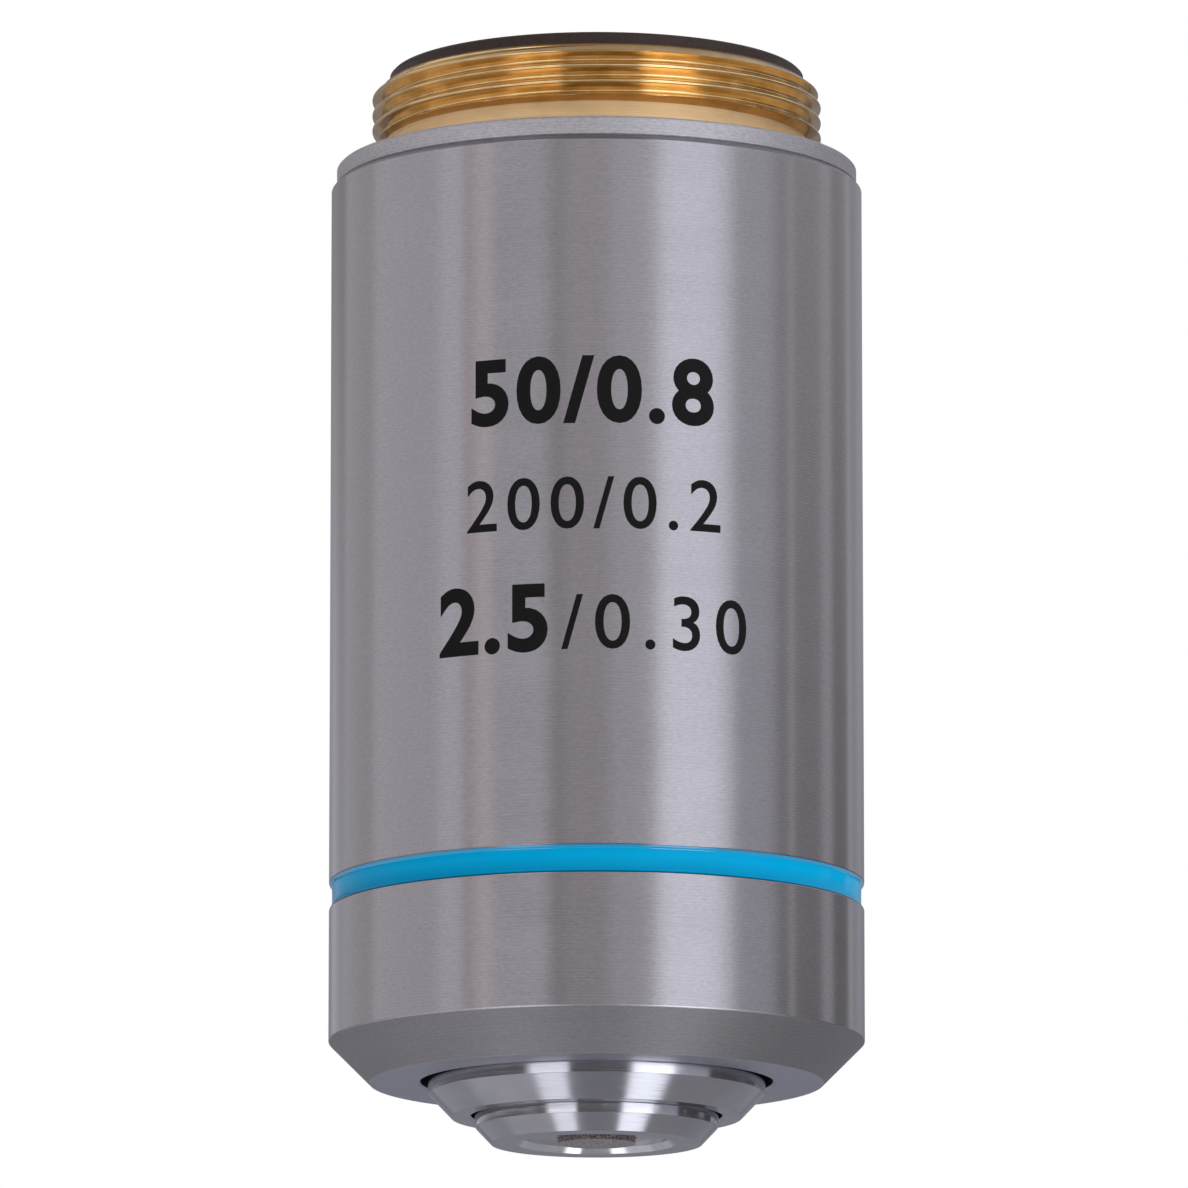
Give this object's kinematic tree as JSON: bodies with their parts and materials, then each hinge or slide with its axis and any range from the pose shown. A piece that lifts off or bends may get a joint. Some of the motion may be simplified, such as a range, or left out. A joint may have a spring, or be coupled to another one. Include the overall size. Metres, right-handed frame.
{
  "type": "microscope objective",
  "caption": "Spring-loaded microscope objective: brass thread, satin-chromed barrel with a light-blue band, and a stepped nose that slides up against its spring.",
  "frame": {"origin": "centre of the mounting shoulder's seat, on the optical axis", "axes": "+Z along the optical axis, from the nose towards the thread; the nose points down"},
  "size_m": [0.024, 0.024, 0.0487],
  "materials": {
    "brass": "satin",
    "satin_chrome": "satin",
    "nose_chrome": "polished",
    "blue_enamel": "gloss",
    "black_finish": "matte",
    "spring_steel": "satin",
    "crown_glass": "polished",
    "flint_glass": "polished"
  },
  "bodies": {
    "barrel": {"threaded_mount": "brass", "shoulder_ring": "satin_chrome", "outer_barrel": "satin_chrome", "colour_band": "blue_enamel", "rear_stop_ring": "black_finish", "return_spring": "spring_steel", "parfocal_shim": "brass"},
    "lens_group": {"lens_sleeve": "nose_chrome", "guide_pin": "spring_steel", "front_cell": "nose_chrome", "front_lens": "crown_glass", "meniscus_cell": "black_finish", "meniscus_lens": "crown_glass", "first_doublet_cell": "black_finish", "first_doublet_crown": "crown_glass", "first_doublet_flint": "flint_glass", "second_doublet_cell": "black_finish", "second_doublet_crown": "crown_glass", "second_doublet_flint": "flint_glass", "spacer_tube": "black_finish", "aperture_stop": "black_finish", "rear_doublet_cell": "black_finish", "rear_doublet_crown": "crown_glass", "rear_doublet_flint": "flint_glass", "lens_lock_ring": "black_finish"}
  },
  "joints": [
    {"name": "nose_retract", "type": "slide", "parent": "barrel", "child": "lens_group", "axis": [0, 0, 1], "range_m": [0, 0.0025], "stiffness_N_per_m": 150, "springref_m": -0.008, "deforming": ["return_spring"]}
  ]
}
